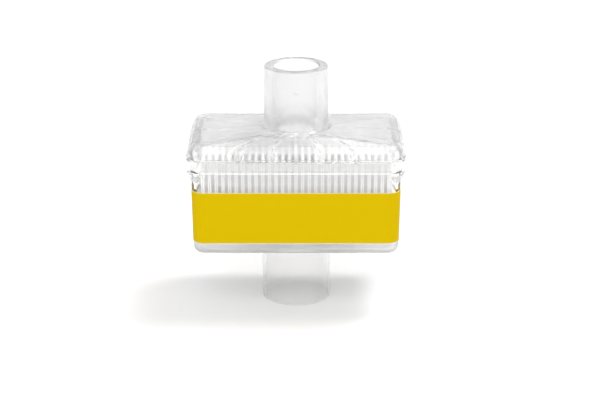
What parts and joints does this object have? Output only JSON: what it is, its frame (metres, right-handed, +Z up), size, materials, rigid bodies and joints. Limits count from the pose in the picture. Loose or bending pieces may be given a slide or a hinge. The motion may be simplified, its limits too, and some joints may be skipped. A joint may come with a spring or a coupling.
{
  "type": "breathing circuit filter",
  "caption": "Clear rectangular breathing circuit filter with a pleated sheet inside, a yellow label band, a tapered cone and socket above and a socket below.",
  "frame": {"origin": "centre of the lower port's rim, on the surface that the filter stands on", "axes": "+Z up the two ports, +X along the long side of the housing, -Y towards the front of the label"},
  "size_m": [0.075, 0.046, 0.0847],
  "materials": {
    "upper_plastic": "clear moulded plastic, gloss, with the port lightly frosted",
    "lower_plastic": "clear moulded plastic, gloss",
    "media": "white non-woven filter paper, matt",
    "adhesive": "milky set adhesive",
    "label": "printed yellow film, satin, no print"
  },
  "bodies": {
    "root": {"upper_housing": "upper_plastic", "lower_housing": "lower_plastic", "pleated_media": "media", "perimeter_seal": "adhesive", "label_band": "label"}
  },
  "joints": []
}
